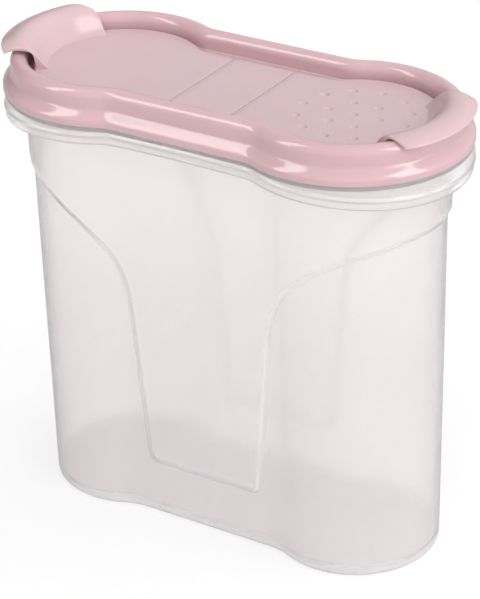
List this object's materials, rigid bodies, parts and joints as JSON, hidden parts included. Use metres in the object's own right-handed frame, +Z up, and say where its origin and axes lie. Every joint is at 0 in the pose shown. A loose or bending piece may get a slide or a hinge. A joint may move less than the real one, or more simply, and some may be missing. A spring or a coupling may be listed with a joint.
{
  "type": "spice jar",
  "caption": "Tall clear dry-food or spice keeper with a dog-bone plan, a press-fit lid and two hinged flaps with finger tabs, one for pouring and one over a sifter.",
  "frame": {"origin": "centre of the flat underside", "axes": "+X along the jar towards the shaking end, +Y towards the back, +Z up"},
  "size_m": [0.1672, 0.0772, 0.1636],
  "materials": {
    "clear_container": "translucent, slightly frosted polypropylene",
    "pink_lid": "pale pink polypropylene, soft gloss"
  },
  "bodies": {
    "container": {"container": "clear_container"},
    "lid": {"lid_frame": "pink_lid", "hinge_bridge": "pink_lid", "pour_hinge_web": "pink_lid", "shaker_hinge_web": "pink_lid"},
    "pour_flap": {"pour_flap": "pink_lid"},
    "shaker_flap": {"shaker_flap": "pink_lid"}
  },
  "joints": [
    {"name": "lid_lift", "type": "slide", "parent": "container", "child": "lid", "axis": [0, 0, 1], "range_m": [0, 0.06]},
    {"name": "pour_flap_hinge", "type": "hinge", "parent": "lid", "child": "pour_flap", "pos_m": [-0.0116, 0, 0.15445], "axis": [0, 1, 0], "range_deg": [0, 90], "deforming": ["pour_hinge_web"]},
    {"name": "shaker_flap_hinge", "type": "hinge", "parent": "lid", "child": "shaker_flap", "pos_m": [0.0116, 0, 0.15445], "axis": [0, -1, 0], "range_deg": [0, 90], "deforming": ["shaker_hinge_web"]}
  ]
}
